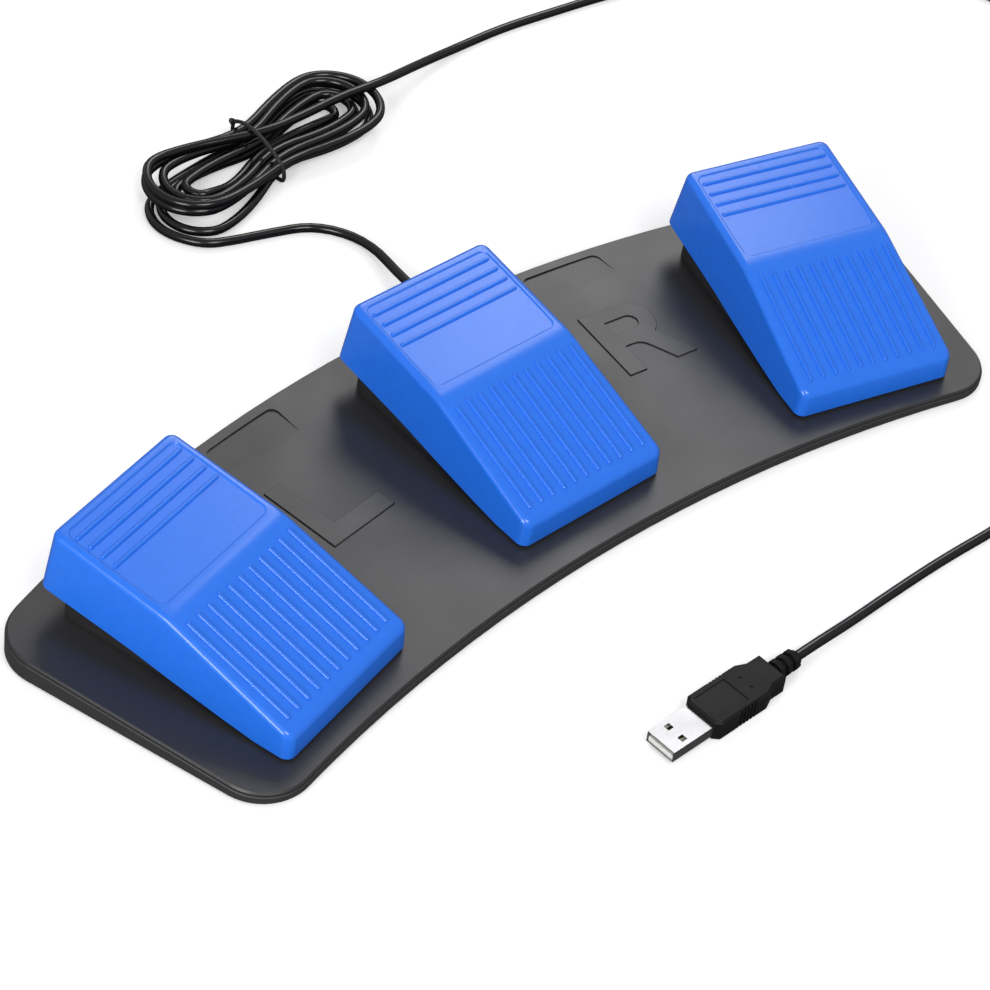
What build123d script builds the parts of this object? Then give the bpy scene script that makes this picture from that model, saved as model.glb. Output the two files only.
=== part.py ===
from build123d import *
import math
import os

os.makedirs("parts", exist_ok=True)

# Every length is in millimetres. The base and the pedals are drawn in the plane of the
# base's top: x to the right, y to the rear, w up from that top. The whole is then tipped
# by deck_tilt, so that the feet stand level.

# Round pieces that repeat inside have this many flat sides, and round ends this many
inner_sides = 8
wire_sides = 6
round_sides = 16
cord_sides = 5

# Plan of the base
end_reach = 180.2
end_flare = 15.54
front_arc_radius = 600.1
front_arc_apex = -7.4
rear_arc_radius = 551.2
rear_arc_apex = 116.4
front_corner = 18.0
rear_corner = 19.0

# Deck and tray
deck_tilt = 2.58
deck_height = 6.84
foot_height = 1.5
deck_thickness = 2.0
deck_edge = 1.4
deck_set_in = 0.45
deck_edge_chamfer = 0.6
tray_floor = 1.6
tray_wall = 1.8
tray_rim_chamfer = 0.3
lid_gap = 0.1
mark_width = 34.0
mark_length = 16.0
mark_set_in = 4.5
mark_depth = 0.7
mark_round = 3.0
mark_x = 75.5

# Screws that close the case, from beneath
case_screw_diameter = 2.6
case_screw_length = 4.0
case_head_diameter = 5.0
case_head_height = 1.1
case_boss = 7.0
case_pad = 9.0
case_pad_height = 1.0
case_counterbore = 5.4
case_counterbore_over = 0.2
thread_gap = 0.02
screw_gap = 0.2
bore_spare = 0.15
case_screw_shares = [(0.955, 0.221), (0.366, 0.237), (0.577, 0.819)]
rear_screw_share = (-0.044, 0.924)

# Rubber feet
foot_diameter = 14.0
foot_recess = 0.6
foot_shares = [(0.877, -0.005), (0.966, 0.593), (0.222, 0.892)]
front_foot_share = 0.116

# Places of the three pedals, the sides turned outward
side_pedal_share = 0.68036
side_pedal_y = -17.4
side_pedal_yaw = 14.4

# Treadle, a hollow moulding with v to the rear from the plate's front and w up
treadle_front = 6.25
treadle_length = 101.3
treadle_height = 36.7
treadle_draft = 3.18
skirt_gap = 1.2
nose_lean = 0.35
nose_height = 11.0
crease_share = 0.5128
crease_height = 29.7
crease_round = 28.0
rear_lean = 3.0
rear_skirt = 12.0
skirt_shares = [(0.655, 0.657), (0.436, 0.343), (0.157, 0.0)]
treadle_top = 2.2
treadle_wall = 1.8
treadle_corner = 3.5
treadle_edge_chamfer = 1.3
grip_width = 1.6
grip_slope = 0.45
grip_rise = 0.6
grip_root = 0.5
grip_count = 11
grip_pitch = 5.325
grip_from_front = 5.2
grip_from_crease = 5.1
bar_count = 4
bar_pitch = 5.05
bar_from_rear = 10.3
bar_half = 26.9
panel_depth = 0.25
panel_from_crease = 3.4
panel_from_rear = 6.65
panel_half = 28.8
panel_round = 2.0
stiffener = 1.5
stiffener_u = 12.0
stiffener_depth = 5.7
stiffener_from_crease = 22.2
stiffener_from_rear = 8.55

# Hinge
pin_back = 15.5
pin_height = 5.4
pin_diameter = 3.0
pin_fit = 0.02
ear_gap = 0.05
ear_radius = 3.2
ear_inner = 23.2
ear_outer = 26.2

# Housing under each treadle
housing_half = 28.8
housing_front = 9.0
housing_from_rear = 6.55
skirt_side_gap = 2.3
housing_corner = 4.0
housing_inner_corner = 2.0
housing_floor = 2.0
housing_wall = 2.0
housing_front_height = 8.0
housing_back_height = 15.0
stop_half = 10.0
stop_reach = 0.8
stop_low = 0.8
stop_high = 2.8
post_u = 19.0
post_front = 21.0
post_from_back = 9.0
post_diameter = 6.4
post_height = 7.0
housing_screw_diameter = 2.6
housing_screw_tip = 5.0
housing_head_diameter = 4.8
housing_head_height = 1.2
housing_screw_hole = 3.0

# Return spring
spring_share = 0.6293
spring_outer = 11.0
spring_wire = 1.0
spring_turns = 5
spring_sides = 10
spring_top = 24.5
spring_rest_gap = 0.05
seat_outer = 15.0
seat_inner = 11.4
seat_height = 4.0
cap_diameter = 13.0
spigot_diameter = 5.0
spigot_low = 21.5

# Snap switch, its bracket and its terminals
switch_back = 27.0
switch_width = 19.8
switch_depth = 6.4
switch_height = 10.2
switch_hole_pitch = 9.5
switch_hole = 2.4
switch_hole_rise = 2.9
switch_chamfer = 0.5
plunger_diameter = 2.4
plunger_gap = 0.05
plunger_out = 1.5
plunger_in = 2.0
plunger_bore_depth = 4.0
pusher_gap = 0.3
pusher_width = 8.0
pusher_depth = 6.0
bracket_half = 10.5
bracket_thickness = 2.0
bracket_top = 11.0
gusset_length = 6.0
gusset_thickness = 1.5
gusset_u = 8.5
switch_screw_diameter = 2.0
switch_head_diameter = 3.8
switch_head_height = 1.0
terminal_pitch = 7.6
terminal_width = 3.2
terminal_thickness = 0.5
terminal_low = -3.5
slot_half = 9.5
slot_depth = 6.0

# Controller board, hung under the deck
board_right_share = 0.51055
board_width = 52.0
board_front = 80.0
board_depth = 24.0
board_top = -4.6
board_thickness = 1.2
board_post = 5.0
board_screw_diameter = 2.0
board_head_diameter = 3.6
board_head_height = 1.0
board_screw_top = -0.9
board_hole_inset = 3.0
usb_hole_in = 7.5
chip_size = 7.0
chip_height = 1.0
chip_in = 22.0
chip_y = 92.0
crystal_length = 5.0
crystal_width = 3.2
crystal_height = 1.1
crystal_in = 32.5
capacitor_length = 2.0
capacitor_width = 1.25
capacitor_height = 0.8
capacitor_y = 98.5
capacitor_pitch = 5.0
capacitor_count = 4
header_width = 5.4
header_depth = 4.2
header_height = 2.3
header_pitch = 10.0
header_in = 4.1
header_pin_half = 1.1
usb_header_length = 6.5
usb_header_in = 1.5
usb_header_y = 91.875
core_pitch = 1.25

# Wires of the switches, in a plane under the deck
wire_diameter = 1.1
wire_level = -3.0
wire_bend = 3.0
core_diameter = 0.75
core_level = -3.5
core_bend = 1.6
core_fan = 0.85
core_gap = 0.05

# Cord, its bushing and its plug
cord_diameter = 3.6
cord_gap = 0.05
exit_x = 27.0
exit_height = 6.5
exit_turn = -3.0
bushing_body = 5.6
bushing_inner_flange = 6.5
bushing_flange_thickness = 1.2
bushing_collar = 8.4
bushing_collar_thickness = 1.2
boot_length = 8.0
boot_root = 6.8
boot_tip = 5.0
jacket_in = 7.2
lead_first_run = 30.0
lead_last_run = 12.0
bend_share = 0.45

# Hank behind the base, its loops drawn in at the waist and held by a tie
hank_x = 36.5
hank_y = 229.5
hank_turn = 10.5
hank_run = 33.5
hank_outer = 22.5
hank_far_pinch = 3.5
hank_near_pinch = 6.5
hank_half_turns = 6
hank_start_angle = 215.0
loop_step = 4.4
layer_step = 4.05
climb_share = 0.75
tie_thickness = 1.2
tie_width = 2.6
tie_gap = 0.4
crest_far_share = 1.0
crest_near_share = 0.3
hank_tie_a = -3.0
hank_tie_turn = -6.0

# Put-away coil beyond the right edge of the view
coil_x = 318.0
coil_y = 22.0
coil_outer = 21.5
coil_half_turns = 2
coil_first_run = 22.4
coil_last_run = 30.0

# Plug, its own x from the cord toward the tip
plug_x = 9.3
plug_y = -82.9
plug_turn = 181.0
plug_first_run = 12.5
relief_length = 12.0
relief_core = 5.4
relief_ring = 7.6
relief_ring_width = 2.0
relief_ring_count = 3
relief_pitch = 3.6
relief_first = 1.4
neck_width = 12.4
neck_length = 6.0
shoulder_length = 4.0
moulding_length = 34.0
moulding_width = 16.0
moulding_height = 8.5
moulding_corner = 2.0
moulding_chamfer = 0.8
plate_inset = 0.3
plate_length = 14.0
plate_width = 11.4
plate_x = 36.6
dot_diameter = 1.4
dot_x = 25.0
dot_half = 2.6
groove_width = 0.8
groove_depth = 0.5
groove_pitch = 1.6
groove_count = 5
groove_first = 28.0
shell_width = 12.0
shell_height = 4.5
shell_out = 18.2
shell_in = 6.0
shell_wall = 0.35
window_size = 2.4
window_from_tip = 5.4
window_half = 3.1
shell_gap = 0.03
tongue_width = 11.0
tongue_height = 1.9
tongue_short = 0.4
contact_width = 1.1
contact_pitch = 2.4
contact_length = 8.0
contact_height = 0.2
contact_short = 1.6


def outline(inset):
    """Plan of the base, drawn in by a distance on every side."""
    depth = rear_arc_apex - front_arc_apex
    slope = math.tan(math.radians(end_flare))
    half = end_reach - inset / math.cos(math.radians(end_flare))
    near, far = front_arc_apex - depth, rear_arc_apex + depth
    ends = Polygon(
        (-half - near * slope, near),
        (half + near * slope, near),
        (half + far * slope, far),
        (-half - far * slope, far),
        align=None,
    )
    rear = Pos(0, rear_arc_apex - rear_arc_radius) * Circle(rear_arc_radius - inset)
    front = Pos(0, front_arc_apex - front_arc_radius) * Circle(front_arc_radius + inset)
    plan = (ends & rear) - front
    plan = fillet(plan.vertices().sort_by(Axis.Y)[:2], radius=front_corner - inset)
    return fillet(plan.vertices().sort_by(Axis.Y)[-2:], radius=rear_corner - inset)


def slab(inset, low, high):
    """The plan drawn up between two heights."""
    return Pos(0, 0, low) * extrude(outline(inset), amount=high - low, dir=(0, 0, 1))


def post(x, y, low, high, diameter, sides=inner_sides):
    """A small upright post or hole, with flat sides that stay inside its circle."""
    return Pos(x, y, low) * extrude(RegularPolygon(diameter / 2, sides), amount=high - low)


def drum(length, diameter, sides=inner_sides):
    """The same along its own axis, from the middle to both sides."""
    return extrude(RegularPolygon(diameter / 2, sides), amount=length / 2, both=True)


def block(x, y, low, width, depth, height):
    """A box by its centre in plan and its lower face."""
    stand = (Align.CENTER, Align.CENTER, Align.MIN)
    return Pos(x, y, low) * Box(width, depth, height, align=stand)


def across(profile, half):
    """A profile in v and w drawn out to both sides."""
    face = Plane((0, 0, 0), x_dir=(0, 1, 0), z_dir=(1, 0, 0)) * profile
    return extrude(face, amount=half, dir=(1, 0, 0), both=True)


def tipped(shape):
    """From the frame of the deck's top to the level frame."""
    return Pos(0, 0, deck_height) * Rot(deck_tilt, 0, 0) * shape


def tray_level(y):
    """Height of the tray's inner floor in the frame of the deck's top."""
    turn = math.radians(deck_tilt)
    return (foot_height + tray_floor - deck_height - y * math.sin(turn)) / math.cos(turn)


def above(height):
    reach = end_reach * 3
    return block(0, 0, height, reach, reach, reach)


def wire(points, diameter, bend):
    """A six-sided wire on straight runs and equal bends."""
    path = FilletPolyline(*points, radius=bend)
    start = Plane(origin=path @ 0, z_dir=path % 0)
    return sweep(start * RegularPolygon(diameter / 2, wire_sides), path=path)


plate_depth = rear_arc_apex - front_arc_apex
side_pedal_x = side_pedal_share * end_reach
crease_back = treadle_front + crease_share * treadle_length
spring_back = treadle_front + spring_share * treadle_length
housing_back = treadle_front + treadle_length - housing_from_rear
post_back = housing_back - post_from_back
board_left = board_right_share * end_reach - board_width
usb_hole_x = board_left + usb_hole_in
usb_header_x = board_left + usb_header_in
chip_x = board_left + chip_in
crystal_x = board_left + crystal_in
header_first = board_left + header_in
pedals = {
    "left": (-side_pedal_x, side_pedal_y, side_pedal_yaw),
    "middle": (0, 0, 0),
    "right": (side_pedal_x, side_pedal_y, -side_pedal_yaw),
}
places = {name: Pos(x, y, 0) * Rot(0, 0, yaw) for name, (x, y, yaw) in pedals.items()}


def spot(name, u, v, w):
    """A point of a pedal, in the frame of the deck's top."""
    return (places[name] * Pos(u, v, w)).position


parts = {}

# Deck: the top plate, its edge standing on the tray's rim and its middle let into the tray
top_plate = slab(deck_set_in, -deck_edge, 0)
top_edges = top_plate.faces().sort_by(Axis.Z)[-1].edges()
top_plate = chamfer(top_edges, length=deck_edge_chamfer)
deck = top_plate + slab(tray_wall + lid_gap, -deck_thickness, -deck_edge)

case_spots = [(side * x * end_reach, front_arc_apex + y * plate_depth)
              for x, y in case_screw_shares for side in (-1, 1)]
case_spots.append((rear_screw_share[0] * end_reach,
                   front_arc_apex + rear_screw_share[1] * plate_depth))
case_hole = case_screw_diameter + 2 * thread_gap
for x, y in case_spots:
    seat = tray_level(y) + case_pad_height
    head_top = seat - case_pad_height - case_counterbore_over
    tip = head_top + case_screw_length
    deck += post(x, y, seat, -deck_edge, case_boss)
    deck -= post(x, y, seat, tip + bore_spare, case_hole)

board_holes = [
    (usb_hole_x, board_front + board_depth - board_hole_inset),
    (board_left + board_width - board_hole_inset, board_front + board_depth - board_hole_inset),
    (board_left + board_width - board_hole_inset, board_front + board_hole_inset),
]
for x, y in board_holes:
    deck += post(x, y, board_top, -deck_edge, board_post)
    deck -= post(x, y, board_top, board_screw_top + bore_spare, board_screw_diameter + 2 * thread_gap)

slot = block(0, switch_back, -deck_thickness, 2 * slot_half, slot_depth, deck_thickness)
for place in places.values():
    deck -= place * slot
    for u in (-post_u, post_u):
        for v in (post_front, post_back):
            deck -= place * post(u, v, -deck_thickness, 0, housing_screw_hole)

# Two shallow sunk marks near the rear edge
mark_reach = mark_set_in + mark_length
mark_band = outline(mark_set_in) - (Pos(0, -mark_length) * outline(mark_set_in))
for x in (-mark_x, mark_x):
    window = Pos(x, rear_arc_apex - mark_reach / 2) * Rectangle(mark_width, 2 * mark_reach)
    mark = mark_band & window
    mark = fillet(mark.vertices(), radius=mark_round)
    rear_y = mark.bounding_box().max.Y
    lean = math.degrees(math.atan(mark_depth / mark_length))
    mark_floor = Pos(x, rear_y, -mark_depth) * Rot(-lean, 0, 0) * Box(
        2 * mark_width, 4 * mark_length, 2 * mark_length, align=(Align.CENTER, Align.CENTER, Align.MIN))
    deck -= Pos(0, 0, -mark_depth) * extrude(mark, amount=mark_depth, dir=(0, 0, 1)) & mark_floor
parts["base_deck"] = tipped(deck)

# Tray: floor, wall, screw pads and foot recesses
tray_deep = deck_height * 3
tray = tipped(slab(0, -tray_deep, -deck_edge)) & above(foot_height)
rim_edges = tray.faces().sort_by(Axis.Z)[-1].edges()
tray = chamfer(rim_edges, length=tray_rim_chamfer)
tray -= tipped(slab(tray_wall, -tray_deep, 0)) & above(foot_height + tray_floor)
for x, y in case_spots:
    level = tray_level(y)
    tray += tipped(post(x, y, level - tray_floor / 2, level + case_pad_height, case_pad))
for x, y in case_spots:
    head_top = tray_level(y) - case_counterbore_over
    tray -= tipped(post(x, y, head_top - 2 * tray_floor, head_top, case_counterbore))
    tray -= tipped(post(x, y, head_top, head_top + 2 * case_pad_height, case_screw_diameter + 2 * screw_gap))

foot_spots = [(side * x * end_reach, front_arc_apex + y * plate_depth)
              for x, y in foot_shares for side in (-1, 1)]
foot_spots.append((0, front_arc_apex + front_foot_share * plate_depth))
feet = []
for x, y in foot_spots:
    tray -= post(x, y, foot_height, foot_height + foot_recess, foot_diameter, round_sides)
    feet.append(post(x, y, 0, foot_height + foot_recess, foot_diameter, round_sides))

# The cord's bushing, through the rear wall
exit_y = math.sqrt(rear_arc_radius**2 - exit_x**2) + rear_arc_apex - rear_arc_radius
exit_y = exit_y * math.cos(math.radians(deck_tilt)) + (deck_height - exit_height) * math.sin(
    math.radians(deck_tilt))
exit_frame = Pos(exit_x, exit_y, exit_height) * Rot(0, 0, exit_turn) * Rot(-90, 0, 0)


def along_exit(low, high, diameter, tip=None):
    start = Pos(0, 0, low) * RegularPolygon(diameter / 2, round_sides)
    if tip is None:
        return exit_frame * extrude(start, amount=high - low)
    shrink = (diameter - tip) / 2 * math.cos(math.pi / round_sides)
    lean = math.degrees(math.atan(shrink / (high - low)))
    return exit_frame * extrude(start, amount=high - low, taper=lean)


wall_in = -tray_wall - lid_gap
cord_bore = (cord_diameter + 2 * cord_gap) / math.cos(math.pi / round_sides)
tray -= along_exit(-tray_wall * 2, tray_wall, bushing_body)
tray -= along_exit(wall_in - tray_wall, wall_in, bushing_inner_flange)
tray -= along_exit(lid_gap, lid_gap + tray_wall, bushing_collar)
bushing = along_exit(wall_in - bushing_flange_thickness, wall_in, bushing_inner_flange)
bushing += along_exit(wall_in, lid_gap, bushing_body)
bushing += along_exit(lid_gap, lid_gap + bushing_collar_thickness, bushing_collar)
boot_start = lid_gap + bushing_collar_thickness
bushing += along_exit(boot_start, boot_start + boot_length, boot_root, boot_tip)
bushing -= along_exit(wall_in * 4, boot_start + 2 * boot_length, cord_bore)
parts["base_tray"] = tray
parts["rubber_feet"] = feet
parts["cord_bushing"] = bushing

case_screws = []
for x, y in case_spots:
    head_top = tray_level(y) - case_counterbore_over
    screw = post(x, y, head_top, head_top + case_screw_length, case_screw_diameter)
    screw += post(x, y, head_top - case_head_height, head_top, case_head_diameter)
    case_screws.append(tipped(screw))
parts["case_screws"] = case_screws

# Controller board and what stands on it
board_x = board_left + board_width / 2
board_y = board_front + board_depth / 2
board_low = board_top - board_thickness
board = block(board_x, board_y, board_low, board_width, board_depth, board_thickness)
board_screws = []
for x, y in board_holes:
    board -= post(x, y, board_low, board_top, board_screw_diameter + 2 * screw_gap)
    screw = post(x, y, board_low, board_screw_top, board_screw_diameter)
    screw += post(x, y, board_low - board_head_height, board_low, board_head_diameter)
    board_screws.append(tipped(screw))
parts["circuit_board"] = tipped(board)
parts["board_screws"] = board_screws
parts["controller_chip"] = tipped(block(chip_x, chip_y, board_top, chip_size, chip_size, chip_height))
parts["crystal"] = tipped(
    block(crystal_x, chip_y, board_top, crystal_length, crystal_width, crystal_height))
parts["capacitors"] = [
    tipped(block(chip_x + i * capacitor_pitch, capacitor_y, board_top,
                 capacitor_length, capacitor_width, capacitor_height))
    for i in range(capacitor_count)
]
header_y = board_front + header_depth / 2
headers = {
    name: header_first + i * header_pitch for i, name in enumerate(("left", "middle", "right"))
}
parts["switch_headers"] = [
    tipped(block(x, header_y, board_top, header_width, header_depth, header_height))
    for x in headers.values()
]
parts["usb_header"] = tipped(
    block(usb_header_x + header_depth / 2, usb_header_y, board_top,
          header_depth, usb_header_length, header_height))

# One pedal in its own frame: housing, pin, spring, switch and treadle
stiffener_front = crease_back - stiffener_from_crease
stiffener_back = treadle_front + treadle_length - stiffener_from_rear
grip_front = treadle_front + grip_from_front
grip_back = crease_back - grip_from_crease
bar_back = treadle_front + treadle_length - bar_from_rear
panel_front = crease_back + panel_from_crease
panel_back = treadle_front + treadle_length - panel_from_rear
treadle_half_width = housing_half + skirt_side_gap + treadle_wall
nose_back = treadle_front + nose_lean
rear_top = treadle_front + treadle_length - rear_lean
rear_low = treadle_front + treadle_length
front_slope = (crease_height - nose_height) / (crease_back - nose_back)
rear_slope = (treadle_height - crease_height) / (rear_top - crease_back)
front_angle = math.degrees(math.atan(front_slope))
rear_angle = math.degrees(math.atan(rear_slope))


def treadle_profile(wall, top):
    """Side view of the treadle, drawn in by its walls."""
    low = skirt_gap - (treadle_height if wall else 0)
    drop = top / math.cos(math.radians(front_angle))
    rear_drop = top / math.cos(math.radians(rear_angle))
    crease = crease_back + (drop - rear_drop) / (front_slope - rear_slope)
    front = [
        (treadle_front + wall, low),
        (treadle_front + wall, skirt_gap),
        (nose_back + wall, nose_height + wall * front_slope - drop),
    ]
    back = [
        (rear_top - wall, treadle_height - wall * rear_slope - rear_drop),
        (rear_low - wall, rear_skirt if not wall else low),
    ]
    ridge = (crease, crease_height - drop + (crease - crease_back) * front_slope)
    skirt = [] if wall else [
        (treadle_front + x * treadle_length, skirt_gap + y * (rear_skirt - skirt_gap))
        for x, y in skirt_shares
    ]
    points = front[0 if wall else 1:] + [ridge] + back + skirt
    face = Polygon(*points, align=None)
    bend = face.vertices().sort_by(lambda p: abs(p.X - ridge[0]) + abs(p.Y - ridge[1]))[0]
    return fillet(bend, radius=crease_round)


def treadle_trough(wall):
    """Front view of the treadle, with the draft of its sides."""
    narrow = treadle_height * math.tan(math.radians(treadle_draft))
    half = treadle_half_width - wall
    points = [(-half - narrow, -treadle_height), (half + narrow, -treadle_height),
              (half - 2 * narrow, 2 * treadle_height), (-half + 2 * narrow, 2 * treadle_height)]
    face = Plane.XZ * Polygon(*points, align=None)
    return extrude(face, amount=2 * treadle_length, both=True)


outer = across(treadle_profile(0, 0), 2 * treadle_half_width) & treadle_trough(0)
uprights = [
    edge for edge in outer.edges()
    if abs(edge.tangent_at(0).Z) > math.cos(math.radians(15)) and edge.length > nose_height / 2
]
outer = fillet(uprights, radius=treadle_corner)
crown = [face for face in outer.faces() if face.normal_at().Z > math.cos(math.radians(25))]
seams = [edge for face in crown for edge in face.edges()]
rim = [edge for edge in seams if sum(edge.is_same(other) for other in seams) == 1]
outer = chamfer(rim, length=treadle_edge_chamfer)
inner = across(treadle_profile(treadle_wall, treadle_top), 2 * treadle_half_width)
inner &= treadle_trough(treadle_wall)
treadle = outer - inner


def front_top(v):
    return nose_height + (v - nose_back) * front_slope


def rear_top_height(v):
    return crease_height + (v - crease_back) * rear_slope


tall = treadle_height
inside = block(0, switch_back, switch_height + housing_floor + plunger_out + pusher_gap,
               pusher_width, pusher_depth, tall)
ear_u = (ear_inner + ear_outer) / 2
ear_thickness = ear_outer - ear_inner
for u in (-ear_u, ear_u):
    inside += block(u, pin_back, pin_height, ear_thickness, 2 * ear_radius, tall)
    inside += Pos(u, pin_back, pin_height) * Rot(0, 90, 0) * drum(ear_thickness, 2 * ear_radius, round_sides)
inside += post(0, spring_back, spring_top, tall, cap_diameter, round_sides)
inside += post(0, spring_back, spigot_low, tall, spigot_diameter, inner_sides)
stiffener_length = stiffener_back - stiffener_front
beams = block(-stiffener_u, stiffener_front + stiffener_length / 2, 0, stiffener, stiffener_length, tall)
beams += block(stiffener_u, stiffener_front + stiffener_length / 2, 0, stiffener, stiffener_length, tall)
beams -= Pos(0, 0, -stiffener_depth) * across(treadle_profile(0, 0), 2 * treadle_half_width)
treadle += (inside + beams) & outer
ear_bore = pin_diameter / 2 + ear_gap
treadle -= Pos(0, pin_back, pin_height) * Rot(0, 90, 0) * Cylinder(ear_bore, 2 * ear_outer + pin_diameter)

# A very shallow panel behind the crease, then the half-round grips
panel_plane = Pos(0, panel_front, rear_top_height(panel_front)) * Rot(rear_angle, 0, 0)
panel_length = (panel_back - panel_front) / math.cos(math.radians(rear_angle))
panel = Pos(0, panel_length / 2) * RectangleRounded(2 * panel_half, panel_length, panel_round)
treadle -= panel_plane * Pos(0, 0, -panel_depth) * extrude(panel, amount=treadle_top)

grip_length = (grip_back - grip_front) / math.cos(math.radians(front_angle))
grip_middle = (grip_front + grip_back) / 2


def grip(length, sunk):
    """A raised rib with sloping sides and ends, let into the surface it stands on."""
    lean = math.degrees(math.atan(grip_slope / grip_rise))
    top = extrude(Rectangle(grip_width, length), amount=grip_rise, taper=lean)
    root = extrude(Rectangle(grip_width, length), amount=-grip_root)
    return Pos(0, 0, -sunk) * (top + root)


grips = []
for i in range(grip_count):
    u = (i - (grip_count - 1) / 2) * grip_pitch
    frame = Pos(u, grip_middle, front_top(grip_middle)) * Rot(front_angle, 0, 0)
    grips.append(frame * grip(grip_length, 0))
for i in range(bar_count):
    v = bar_back - i * bar_pitch
    frame = Pos(0, v, rear_top_height(v)) * Rot(rear_angle, 0, 0) * Rot(0, 0, 90)
    grips.append(frame * grip(2 * bar_half, panel_depth))
treadle = treadle.fuse(*grips)

housing_length = housing_back - housing_front
housing_middle = (housing_front + housing_back) / 2
cup_plan = Pos(0, housing_middle) * RectangleRounded(2 * housing_half, housing_length, housing_corner)
cup = extrude(cup_plan, amount=housing_back_height)
hollow_plan = Pos(0, housing_middle) * RectangleRounded(
    2 * (housing_half - housing_wall), housing_length - 2 * housing_wall, housing_inner_corner)
cup -= Pos(0, 0, housing_floor) * extrude(hollow_plan, amount=housing_back_height)
rise = (housing_back_height - housing_front_height) / housing_length
over = housing_front_height - housing_wall * rise
slant = Polygon(
    (housing_front - housing_wall, over),
    (housing_back + housing_wall, housing_back_height + housing_wall * rise),
    (housing_back + housing_wall, 2 * housing_back_height),
    (housing_front - housing_wall, 2 * housing_back_height),
    align=None,
)
cup -= across(slant, 2 * housing_half)
cup += block(0, housing_front + (housing_wall - stop_reach) / 2, stop_low,
             2 * stop_half, housing_wall + stop_reach, stop_high - stop_low)
for u in (-post_u, post_u):
    for v in (post_front, post_back):
        cup += post(u, v, 0, post_height, post_diameter)
        cup -= post(u, v, 0, housing_screw_tip + bore_spare, housing_screw_diameter + 2 * thread_gap)
cup += post(0, spring_back, 0, housing_floor + seat_height, seat_outer, round_sides)
cup -= post(0, spring_back, housing_floor, housing_floor + 2 * seat_height, seat_inner, round_sides)
bracket_front = switch_back + switch_depth / 2
cup += block(0, bracket_front + bracket_thickness / 2, 0, 2 * bracket_half, bracket_thickness, bracket_top)
gusset = Polygon(
    (bracket_front, 0),
    (bracket_front + bracket_thickness + gusset_length, 0),
    (bracket_front + bracket_thickness + gusset_length, housing_floor),
    (bracket_front + bracket_thickness, bracket_top - gusset_thickness),
    (bracket_front, bracket_top - gusset_thickness),
    align=None,
)
for u in (-gusset_u, gusset_u):
    cup += Pos(u, 0, 0) * across(gusset, gusset_thickness / 2)
cup -= block(0, switch_back, 0, 2 * slot_half, slot_depth, housing_floor)
pin_hole = pin_diameter + 2 * pin_fit
cup -= Pos(0, pin_back, pin_height) * Rot(0, 90, 0) * Cylinder(pin_hole / 2, 3 * housing_half)

switch_low = housing_floor
switch_hole_w = switch_low + switch_hole_rise
hole_u = switch_hole_pitch / 2
switch = block(0, switch_back, switch_low, switch_width, switch_depth, switch_height)
switch = chamfer(switch.edges().filter_by(Axis.Z), length=switch_chamfer)
switch_screws = []
for u in (-hole_u, hole_u):
    line = Pos(u, switch_back, switch_hole_w) * Rot(90, 0, 0)
    switch -= line * drum(2 * switch_depth, switch_hole)
    cup -= line * Pos(0, 0, -switch_depth) * drum(
        switch_depth + 2 * bracket_thickness, switch_screw_diameter + 2 * thread_gap)
    shank_back = bracket_front + bracket_thickness
    shank = Pos(u, shank_back, switch_hole_w) * Rot(90, 0, 0) * extrude(
        RegularPolygon(switch_screw_diameter / 2, inner_sides), amount=switch_depth + bracket_thickness)
    head = Pos(u, switch_back - switch_depth / 2, switch_hole_w) * Rot(90, 0, 0) * extrude(
        RegularPolygon(switch_head_diameter / 2, inner_sides), amount=switch_head_height)
    switch_screws.append(shank + head)
switch_top = switch_low + switch_height
switch -= post(0, switch_back, switch_top - plunger_bore_depth, switch_top,
               plunger_diameter + 2 * plunger_gap)
plunger = post(0, switch_back, switch_top - plunger_in, switch_top + plunger_out, plunger_diameter)
terminals = [
    block(i * terminal_pitch, switch_back, terminal_low, terminal_width, terminal_thickness,
          switch_low - terminal_low)
    for i in (-1, 0, 1)
]
pin = Pos(0, pin_back, pin_height) * Rot(0, 90, 0) * Cylinder(pin_diameter / 2, 2 * housing_half)

# The spring, a coil of square section on short chords
coil_radius = (spring_outer - spring_wire) / 2
spring_low = housing_floor + spring_rest_gap + spring_wire / 2
climb = (spring_top - spring_wire / 2 - spring_low) / (spring_turns * spring_sides)
coil_points = [
    (coil_radius * math.cos(math.tau * i / spring_sides),
     spring_back + coil_radius * math.sin(math.tau * i / spring_sides),
     spring_low + climb * i)
    for i in range(spring_turns * spring_sides + 1)
]
coil_path = Polyline(*coil_points)
coil_start = Plane(origin=coil_path @ 0, x_dir=(1, 0, 0), z_dir=coil_path % 0)
spring = sweep(coil_start * Rectangle(spring_wire, spring_wire), path=coil_path,
               transition=Transition.RIGHT)

housing_screws, all_switch_screws = [], []
for name, place in places.items():
    parts[name + "_treadle"] = tipped(place * treadle)
    parts[name + "_pedal_housing"] = tipped(place * cup)
    parts[name + "_hinge_pin"] = tipped(place * pin)
    parts[name + "_return_spring"] = tipped(place * spring)
    parts[name + "_microswitch"] = tipped(place * switch)
    parts[name + "_switch_plunger"] = tipped(place * plunger)
    parts[name + "_switch_terminals"] = [tipped(place * t) for t in terminals]
    all_switch_screws += [tipped(place * s) for s in switch_screws]
    for u in (-post_u, post_u):
        for v in (post_front, post_back):
            under = -deck_thickness
            screw = post(u, v, under, housing_screw_tip, housing_screw_diameter)
            screw += post(u, v, under - housing_head_height, under, housing_head_diameter)
            housing_screws.append(tipped(place * screw))
parts["housing_screws"] = housing_screws
parts["switch_screws"] = all_switch_screws

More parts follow.
